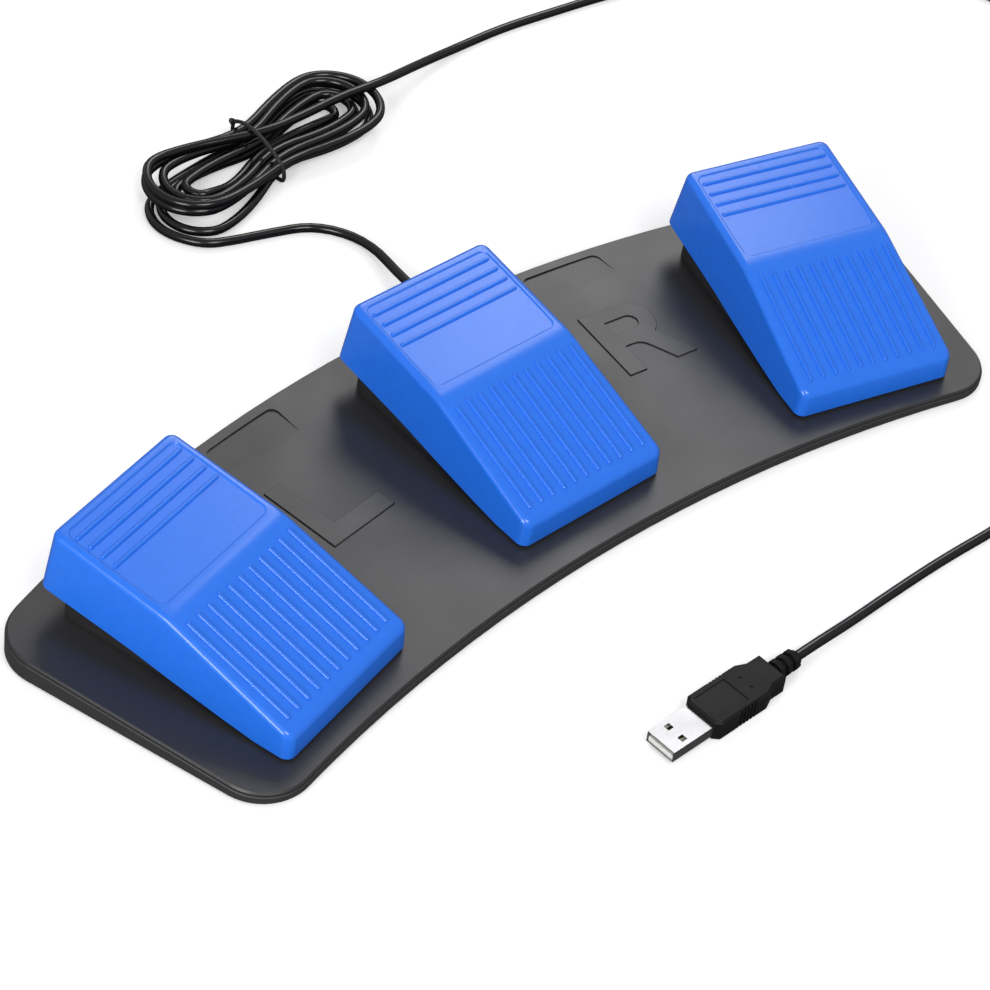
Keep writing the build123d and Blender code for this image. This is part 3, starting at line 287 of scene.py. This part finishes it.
class Moulding:
    """Points and faces in millimetres, made into one mesh."""

    def __init__(self):
        self.points, self.faces = [], []

    def add(self, rows):
        start = len(self.points)
        self.points += rows
        return list(range(start, start + len(rows)))

    def join(self, one, two, closed=True):
        """Faces between two rows of points."""
        count = len(one)
        for i in range(count if closed else count - 1):
            j = (i + 1) % count
            self.faces.append((one[i], one[j], two[j], two[i]))

    def ring(self, half_row):
        """A half row and its mirror image as one ring."""
        left = [(-u, v, w) for u, v, w in reversed(half_row)]
        return self.add(half_row + left)

    def prism(self, plan, low, high):
        """An upright body over an outline, closed at both ends."""
        one = self.add([(u, v, low) for u, v in plan])
        two = self.add([(u, v, high) for u, v in plan])
        self.join(one, two)
        self.faces += [tuple(reversed(one)), tuple(two)]

    def block(self, low, high, bevel):
        """A block with its upright edges taken off."""
        (u0, v0, w0), (u1, v1, w1) = low, high
        plan = [(u0 + bevel, v0), (u1 - bevel, v0), (u1, v0 + bevel), (u1, v1 - bevel),
                (u1 - bevel, v1), (u0 + bevel, v1), (u0, v1 - bevel), (u0, v0 + bevel)]
        self.prism(plan, w0, w1)

    def drum(self, v, low, high, radius):
        """An upright round body."""
        turns = [2 * math.pi * i / DRUM_SIDES for i in range(DRUM_SIDES)]
        self.prism([(radius * math.cos(a), v + radius * math.sin(a)) for a in turns], low, high)

    def rib(self, start, end, across, up, radius):
        """A half-round rib with rounded ends."""
        start, end, across, up = Vector(start), Vector(end), Vector(across), Vector(up)
        way = (end - start).normalized()
        stops = [(start + way * radius * (1 - math.cos(a)), math.sin(a)) for a in RIB_TURNS]
        stops += [(end - way * radius * (1 - math.cos(a)), math.sin(a)) for a in reversed(RIB_TURNS)]
        rows = []
        for place, size in stops:
            ring = []
            for k in range(RIB_SIDES + 1):
                a = math.pi * k / RIB_SIDES
                ring.append(tuple(place + across * radius * size * math.cos(a)
                                  + up * (radius * size * math.sin(a) - RIB_SUNK)))
            rows.append(self.add(ring))
        for one, two in zip(rows, rows[1:]):
            self.join(one, two, closed=False)
        self.faces += [tuple(reversed(rows[0])), tuple(rows[-1])]

    def mesh(self, name):
        made = bpy.data.meshes.new(name)
        made.from_pydata([(x / 1000, y / 1000, z / 1000) for x, y, z in self.points], [], self.faces)
        work = bmesh.new()
        work.from_mesh(made)
        bmesh.ops.recalc_face_normals(work, faces=work.faces)
        work.to_mesh(made)
        work.free()
        made.shade_smooth()
        made.set_sharp_from_angle(angle=SHARP_ANGLE)
        return made


def treadle_shell(form):
    """Skirt, rounded rim, top with its sunk panel, and the hollow inside."""
    outer = [form.ring(outline_row(skirt_line, 0))]
    for i in range(RIM_STEPS + 1):
        turn = math.pi / 2 * i / RIM_STEPS
        drop = RIM_ROUND * (1 - math.sin(turn))
        half_row = outline_row(lambda v: top_line(v) - drop, RIM_ROUND * (1 - math.cos(turn)))
        outer.append(form.ring(half_row))
    for one, two in zip(outer, outer[1:]):
        form.join(one, two)
    inner_low = form.ring(outline_row(skirt_line, WALL))
    form.join(outer[0], inner_low)
    inner_top = form.ring(outline_row(lambda v: top_line(v) - CEILING, WALL))
    form.join(inner_low, inner_top)
    for k in range(len(STATIONS) - 1):
        form.faces.append((inner_top[k], inner_top[k + 1], inner_top[-k - 2], inner_top[-k - 1]))
    # The top is laid across from the rim's last ring, half_row
    rungs = []
    for k, (u, v, w) in enumerate(half_row):
        depth = PANEL_DEPTH if PANEL_FRONT < v < PANEL_REAR else 0
        edge = min(panel_edge(v), u - 2 * STEP_HALF - STEP_GAP)
        inside = form.add([(edge + STEP_HALF, v, w), (edge - STEP_HALF, v, w - depth),
                           (-edge + STEP_HALF, v, w - depth), (-edge - STEP_HALF, v, w)])
        rungs.append([outer[-1][k]] + inside + [outer[-1][-k - 1]])
    for one, two in zip(rungs, rungs[1:]):
        form.join(one, two, closed=False)


def treadle_grips(form):
    """The ribs along the front slope and the ribs across the panel."""
    up = (0, -math.sin(FRONT_ANGLE), math.cos(FRONT_ANGLE))
    for i in range(FRONT_RIBS):
        u = (i - FRONT_RIBS // 2) * FRONT_PITCH
        start, end = [(u, v, top_line(v)) for v in FRONT_RIB_ENDS]
        form.rib(start, end, (1, 0, 0), up, FRONT_RIB)
    up = (0, -math.sin(REAR_ANGLE), math.cos(REAR_ANGLE))
    along = (0, math.cos(REAR_ANGLE), math.sin(REAR_ANGLE))
    for i in range(REAR_RIBS):
        v = REAR_RIB_FIRST - i * REAR_PITCH
        w = top_line(v) - PANEL_DEPTH
        form.rib((-REAR_RIB_HALF, v, w), (REAR_RIB_HALF, v, w), along, up, REAR_RIB)


def ear(form, side):
    """A plate with a bore for the pin, round below and straight above."""
    plates = []
    for face in EAR_FACES:
        u = face * side
        rim, bore = [], []
        for i in range(EAR_SIDES):
            a = 2 * math.pi * (i + 0.5) / EAR_SIDES
            reach = EAR_ROUND
            if math.sin(a) > 0:
                reach = min(EAR_ROUND / abs(math.cos(a)), EAR_TOP / math.sin(a))
            rim.append((u, PIN_V + reach * math.cos(a), PIN_W + reach * math.sin(a)))
            bore.append((u, PIN_V + BORE * math.cos(a), PIN_W + BORE * math.sin(a)))
        plates.append((form.add(rim), form.add(bore)))
    (rim_a, bore_a), (rim_b, bore_b) = plates
    form.join(rim_a, bore_a)
    form.join(rim_b, bore_b)
    form.join(rim_a, rim_b)
    form.join(bore_a, bore_b)


def stiffener(form, side):
    """A bar that follows the inside of the top."""
    spine = [BAR_FRONT, BLEND_FRONT, CREASE_V, BLEND_REAR, BAR_REAR]
    faces = []
    for x in (-BAR_HALF, BAR_HALF):
        lower = [(BAR_U * side + x, v, top_line(v) - BAR_LOW) for v in spine]
        upper = [(BAR_U * side + x, v, top_line(v) - BAR_HIGH) for v in reversed(spine)]
        faces.append(form.add(lower + upper))
    form.join(faces[0], faces[1])
    form.faces += [tuple(faces[0]), tuple(reversed(faces[1]))]


treadle_form = Moulding()
treadle_shell(treadle_form)
treadle_grips(treadle_form)
for side in (-1, 1):
    ear(treadle_form, side)
    stiffener(treadle_form, side)
treadle_form.block(PUSHER_LOW, PUSHER_HIGH, PUSHER_BEVEL)
for low, high, radius in SPRING_DRUMS:
    treadle_form.drum(SPRING_V, low, high, radius)
for side, place in PEDALS.items():
    name = side + "_treadle_moulding"
    made = link(bpy.data.objects.new(name, treadle_form.mesh(name)),
                side + "_pedal", BLUE)
    made.matrix_world = DECK @ place
    weighted = made.modifiers.new("flat_faces", "WEIGHTED_NORMAL")
    weighted.keep_sharp = True
    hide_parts(side + "_treadle")


# Camera, as worked out from the edges in the photo
camera = bpy.data.objects.new("camera", bpy.data.cameras.new("camera"))
scene.collection.objects.link(camera)
camera.data.sensor_fit = "HORIZONTAL"
camera.data.sensor_width = 36
camera.data.lens = 114.234
camera.data.clip_start = 0.01
camera.data.clip_end = 20
camera.matrix_world = Matrix((
    (0.73936202, 0.40903054, -0.53482504, -0.598989),
    (-0.6663187, 0.55865064, -0.49389154, -0.549070),
    (0.09676363, 0.72152857, 0.68558976, 0.746867),
    (0, 0, 0, 1),
))
scene.camera = camera


# Cord: one length from the board's end of the jacket to the plug
# Heights of the cord's middle in mm: on the floor, in the winding's two layers and over them
LAID, LOW, HIGH, OVER = 1.8, 3.0, 7.05, 11.1
HANK_X, HANK_Y, HANK_TURN = 36.5, 229.5, math.radians(10.5)
HANK_RUN, HANK_OUTER, STEP = 32.0, 22.5, 4.4
COIL_X, COIL_Y, COIL_OUTER = 318.0, 22.0, 21.5
# How far the hank's sides are drawn in at its waist, and between the waist and its ends
FAR_PINCH, NEAR_PINCH, SIDE_PINCH = 8.4, 10.8, 1.6
SIDE_SHARE, LOOSE_SHARE = 0.62, 1.15
# Points in one end turn, and the half turn in which each winding climbs to its second layer
TURN_POINTS, HANK_CLIMB, COIL_CLIMB, COIL_HALVES = 6, 6, 2, 6
# How far each end turn lies from a neat winding, along, across and up, and its share of the width
LOOSE = [(-11.0, -2.0, -0.9, 0.8), (4.5, 0.0, -0.9, 0.9), (-9.0, -2.5, 0.2, 0.87),
         (4.0, 1.0, -0.5, 0.88), (-4.0, 1.0, 1.2, 0.78), (3.5, 1.0, 0.2, 0.5),
         (-3.0, 2.0, -0.8, 0.5), (4.5, -0.5, -0.6, 0.7), (-1.0, 3.6, 0.7, 0.9),
         (4.0, 1.0, 0.9, 0.88), (-4.5, 3.7, 0.6, 0.9), (4.0, -1.0, 1.6, 0.9),
         (-3.0, 3.8, 3.4, 0.76)]


def in_hank(a, b, z):
    """A place in the wound bundle, a along it and b across."""
    return row(HANK_X + a * math.cos(HANK_TURN) - b * math.sin(HANK_TURN),
               HANK_Y + a * math.sin(HANK_TURN) + b * math.cos(HANK_TURN), z)


def in_coil(a, b, z):
    """A place in the small coil beside the picture."""
    return row(COIL_X + b, COIL_Y - a, z)


def windings(outer, inward, outward):
    """Radii of the half turns, from the outermost to the inmost and out again."""
    made = [outer - i * STEP / 2 for i in range(inward)]
    return made + [made[-1] + i * STEP / 2 for i in outward]


def end_turn(place, side, run, first, last, z, start=0.5):
    """Points clockwise round one end of the hank, or half of the coil."""
    radius = (first + last) / 2
    middle = side * (first - last) / 2
    # The spline runs inside its points, so they stand further out
    reach = radius / math.cos(math.pi / TURN_POINTS / 2) ** 2
    made = []
    k = start
    while k < TURN_POINTS:
        angle = math.pi / 2 - math.pi * k / TURN_POINTS
        made.append(place(side * (run + reach * math.cos(angle)),
                          middle + side * reach * math.sin(angle), z))
        k += 1
    return made


def loose(i, share, offset):
    """The looseness along one side, between its two end turns."""
    before, after = LOOSE[max(i - 1, 0)], LOOSE[i]
    part = LOOSE_SHARE * max(0.0, -share), LOOSE_SHARE * max(0.0, share)
    a, b, up = [one * part[0] + two * part[1] for one, two in zip(before[:3], after[:3])]
    drawn = 1 - (1 - before[3]) * part[0] - (1 - after[3]) * part[1]
    return a, b + offset * drawn, up


def loosened(i, side, height, start=0.5):
    """One end turn, moved and narrowed as its row of LOOSE says."""
    a, b, up, width = LOOSE[i]
    turn = Vector((a * math.cos(HANK_TURN) - b * math.sin(HANK_TURN),
                   a * math.sin(HANK_TURN) + b * math.cos(HANK_TURN), up)) / 1000
    points = end_turn(in_hank, side, HANK_RUN, sizes[i] * width, sizes[i + 1] * width, height, start)
    return [p + turn for p in points]


# The lead out of the case
route = [row(*point) for point in (
    (26.623, 108.446, 6.5), (28.193, 138.405, 6.5), (35.8, 166.8, 2.4), (26.2, 186.4, LAID),
    (7.0, 193.2, LAID), (-6.4, 197.0, 2.2), (-15.5, 200.8, 2.4))]

# The bundle
sizes = windings(HANK_OUTER, 7, range(1, 8))
route += loosened(0, -1, LOW, start=2.5)
for i in range(1, len(LOOSE)):
    side = 1 if i % 2 else -1
    z = LOW if i < HANK_CLIMB else HIGH
    for share in (-SIDE_SHARE, 0.0, SIDE_SHARE):
        waist = FAR_PINCH if side > 0 else NEAR_PINCH
        offset = sizes[i] - (waist if share == 0 else SIDE_PINCH)
        level = z
        if i == HANK_CLIMB:
            level = LOW + (HIGH - LOW) * (SIDE_SHARE - share) / (2 * SIDE_SHARE)
        a, b, up = loose(i, share, side * offset)
        route.append(in_hank(side * share * HANK_RUN + a, b, level + up))
    route += loosened(i, side, z)

# Over the bundle, then along the floor and out of the picture
route += [in_hank(*point) for point in (
    (-24.0, 17.5, HIGH + 3.4), (-11.0, 10.0, OVER), (4.0, 2.0, OVER + 0.4),
    (22.0, -1.0, OVER + 0.2), (42.0, -3.6, OVER))]
route += [row(*point) for point in (
    (97.0, 231.8, OVER), (121.0, 237.2, 6.2), (147.0, 241.3, LAID), (171.0, 241.0, LAID),
    (196.0, 237.6, LAID), (223.0, 233.8, LAID), (251.0, 226.8, LAID), (279.0, 215.4, LAID),
    (305.0, 200.6, LAID), (329.0, 182.0, LAID), (350.0, 161.5, LAID), (362.8, 139.5, LAID),
    (361.8, 112.0, LAID), (353.5, 86.0, LAID), (339.5, 55.6, 3.0))]

# The coil beside the picture
rings = windings(COIL_OUTER, 3, range(4))
route.append(in_coil(-8.0, COIL_OUTER, LOW))
for i in range(COIL_HALVES):
    side = -1 if i % 2 else 1
    z = LOW if i < COIL_CLIMB else HIGH
    turned = end_turn(in_coil, side, 0, rings[i], rings[i + 1], z)
    if i == COIL_CLIMB:
        for k, point in enumerate(turned):
            point.z = (LOW + (HIGH - LOW) * (k + 0.5) / TURN_POINTS) / 1000
    route += turned
route.append(in_coil(6.0, rings[-1], HIGH))

# Back along the floor to the plug
route += [row(*point) for point in (
    (341.55, -4.0, HIGH), (335.0, -29.0, 3.8), (316.0, -46.0, LAID), (289.0, -53.0, LAID),
    (260.0, -54.5, LAID), (231.0, -58.0, LAID), (202.0, -64.5, LAID), (174.0, -73.0, LAID),
    (146.0, -79.5, LAID), (117.0, -81.5, LAID), (88.0, -80.2, LAID), (60.0, -80.6, LAID),
    (38.0, -81.8, 2.6), (21.8, -82.68, 4.25), (9.3, -82.9, 4.25))]


def round_curve(name, radius, sides):
    """An empty curve that its splines fill as round rods."""
    curve = bpy.data.curves.new(name, "CURVE")
    curve.dimensions = "3D"
    curve.bevel_depth = radius
    curve.bevel_resolution = sides
    return curve


def add_spline(curve, places, closed=False):
    """A smooth spline along places in metres."""
    made = curve.splines.new("NURBS")
    made.points.add(len(places) - 1)
    for point, place in zip(made.points, places):
        point.co = (*place, 1)
    made.order_u = 3
    made.use_cyclic_u = closed
    made.use_endpoint_u = not closed
    return made


line = round_curve("usb_cord", CORD / 2, 4)
add_spline(line, route).resolution_u = 5
usb_cord = link(bpy.data.objects.new("usb_cord", line), "base", SHEATH)
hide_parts("cord_lead", "cord_hank", "cord_tail", "cord_coil", "plug_lead")

# The band round the bundle's waist and its knot, as places across, up and along
BAND_RADIUS, BAND_ALONG, BAND_LEAN = 0.0008, -3.4, math.radians(-13)
BAND_LOOP = [(-14.4, 0.9, 0.3), (-15.8, 4.3, 0.2), (-14.6, 8.8, 0.0), (-8.8, 12.0, -0.4),
             (-1.0, 14.3, -0.5), (8.0, 14.4, -0.4), (15.0, 11.6, 0.0), (18.2, 8.6, 0.3),
             (18.0, 3.2, 0.4), (16.0, 0.8, 0.4), (0.0, 0.8, 0.2)]
BAND_KNOT = [(17.4, 9.6, 0.4), (18.2, 9.2, 1.0), (18.7, 9.5, 0.4), (18.5, 10.0, -0.5),
             (17.9, 9.9, -0.9), (17.6, 9.0, -0.4), (18.2, 8.4, 0.5), (18.9, 7.9, 1.2)]


def in_tie(across, z, along):
    """A place in the plane of the hank's tie."""
    a = BAND_ALONG + along * math.cos(BAND_LEAN) - across * math.sin(BAND_LEAN)
    return in_hank(a, along * math.sin(BAND_LEAN) + across * math.cos(BAND_LEAN), z)


band = round_curve("hank_band", BAND_RADIUS, 3)
band.resolution_u = 8
add_spline(band, [in_tie(*point) for point in BAND_LOOP], closed=True)
add_spline(band, [in_tie(*point) for point in BAND_KNOT])
hank_band = link(bpy.data.objects.new("hank_band", band), "base", TIE)
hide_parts("hank_tie")

plugged = [nodes[n] for n in ("plug_overmould", "plug_shell", "plug_insulator", "plug_contacts", "coil_tie")]
plugged.append(hank_band)


# Raised letters on the deck, in mm from each letter's lower left corner
LETTER_HALF, LETTER_EDGE, LETTER_LIFT = 0.00012, 0.00018, 0.0002
ARC_STEPS = 14


def arc(x, y, radius, start, stop):
    """Points on an arc between two angles in degrees."""
    turns = [math.radians(start + (stop - start) * i / ARC_STEPS) for i in range(ARC_STEPS + 1)]
    return [(x + radius * math.cos(a), y + radius * math.sin(a)) for a in turns]


def letter(name, loops, corner, turn):
    """A flat letter with softened edges, standing on the deck's top."""
    flat = bpy.data.curves.new(name, "CURVE")
    flat.dimensions = "2D"
    flat.fill_mode = "BOTH"
    flat.extrude = LETTER_HALF
    flat.bevel_depth = LETTER_EDGE
    flat.bevel_resolution = 2
    flat.offset = -LETTER_EDGE
    for loop in loops:
        edge = flat.splines.new("POLY")
        edge.points.add(len(loop) - 1)
        for point, (x, y) in zip(edge.points, loop):
            point.co = (x / 1000, y / 1000, 0, 1)
        edge.use_cyclic_u = True
    obj = link(bpy.data.objects.new(name, flat), "base", CHARCOAL)
    spot = Matrix.Translation((corner[0] / 1000, corner[1] / 1000, LETTER_LIFT))
    obj.matrix_world = DECK @ spot @ Matrix.Rotation(math.radians(turn), 4, "Z")


angle_shape = [(0, 0), (30, 0), (30, 7.8), (7.8, 7.8), (7.8, 33), (0, 33)]
letter("letter_left", [angle_shape], (-83.8, 44.3), 7.5)
bowl = [(0, 0), (0, 33)] + arc(17.2, 23.3, 9.7, 90, -58)
bowl += [(23.6, 12.9), (25.4, 9.9), (30.5, 0), (21.7, 0), (16.6, 9.6), (15.0, 11.9), (13.0, 13.0),
         (10.6, 13.2), (7.6, 13.2), (7.6, 0)]
counter = [(7.6, 19.9), (7.6, 26.6)] + arc(16.6, 23.25, 3.35, 90, -90)
letter("letter_right", [bowl, counter], (57.8, 48.1), -7.0)


# Stage, lamps and world
FLOOR_HALF, FLOOR_GREY, MIRRORED_GREY, FLOOR_GLOW, WORLD_LIGHT = 4, 0.8, 0.13, 0.34, 0.42


def floor_material():
    """White to the camera, dark where the object mirrors it, and plain to all other light."""
    mat = bpy.data.materials.new("stage_floor")
    mat.use_nodes = True
    tree = mat.node_tree
    tree.nodes.clear()
    join = tree.links.new
    out = add_node(tree, "ShaderNodeOutputMaterial")
    ray = add_node(tree, "ShaderNodeLightPath")
    plain = add_node(tree, "ShaderNodeBsdfDiffuse", {"Color": grey(FLOOR_GREY)})
    dull = add_node(tree, "ShaderNodeBsdfDiffuse", {"Color": grey(MIRRORED_GREY)})
    seen = add_node(tree, "ShaderNodeBsdfDiffuse", {"Color": grey(FLOOR_GREY)})
    glow = add_node(tree, "ShaderNodeEmission", {"Color": grey(1), "Strength": FLOOR_GLOW})
    both = add_node(tree, "ShaderNodeAddShader")
    join(seen.outputs[0], both.inputs[0])
    join(glow.outputs[0], both.inputs[1])
    in_gloss = add_node(tree, "ShaderNodeMixShader")
    join(ray.outputs["Is Glossy Ray"], in_gloss.inputs[0])
    join(plain.outputs[0], in_gloss.inputs[1])
    join(dull.outputs[0], in_gloss.inputs[2])
    mix = add_node(tree, "ShaderNodeMixShader")
    join(ray.outputs["Is Camera Ray"], mix.inputs[0])
    join(in_gloss.outputs[0], mix.inputs[1])
    join(both.outputs[0], mix.inputs[2])
    join(mix.outputs[0], out.inputs["Surface"])
    return mat


corners = [(x * FLOOR_HALF, y * FLOOR_HALF, 0) for x, y in ((-1, -1), (1, -1), (1, 1), (-1, 1))]
ground = bpy.data.meshes.new("stage_floor")
ground.from_pydata(corners, [], [(0, 1, 2, 3)])
ground.materials.append(floor_material())
floor = bpy.data.objects.new("stage_floor", ground)
scene.collection.objects.link(floor)

# The world is white to the camera and dimmer as light
world = bpy.data.worlds.new("studio")
scene.world = world
world.use_nodes = True
tree = world.node_tree
tree.nodes.clear()
out = add_node(tree, "ShaderNodeOutputWorld")
ray = add_node(tree, "ShaderNodeLightPath")
dim = add_node(tree, "ShaderNodeBackground", {"Color": grey(1), "Strength": WORLD_LIGHT})
white = add_node(tree, "ShaderNodeBackground", {"Color": grey(1), "Strength": 1.0})
pick = add_node(tree, "ShaderNodeMixShader")
tree.links.new(ray.outputs["Is Camera Ray"], pick.inputs[0])
tree.links.new(dim.outputs[0], pick.inputs[1])
tree.links.new(white.outputs[0], pick.inputs[2])
tree.links.new(pick.outputs[0], out.inputs["Surface"])


def lamp(name, place, size, power):
    """A round lamp that looks at the middle of the object."""
    data = bpy.data.lights.new(name, "AREA")
    data.shape = "DISK"
    data.size = size
    data.energy = power
    obj = bpy.data.objects.new(name, data)
    scene.collection.objects.link(obj)
    way = -Vector(place)
    obj.location = place
    obj.rotation_euler = way.to_track_quat("-Z", "Y").to_euler()


# The deck and the panels mirror the first three, and the other two light the fronts and the left sides
lamp("key", (1.36, 1.12, 1.62), 1.0, 10.8)
lamp("sheen", (1.33, 0.53, 1.83), 0.36, 1.3)
lamp("crease", (1.10, 0.27, 1.80), 0.22, 0.5)
lamp("fill", (-1.6, -0.5, 0.9), 0.9, 17)
lamp("front", (-0.5, -1.5, 1.9), 1.0, 20)
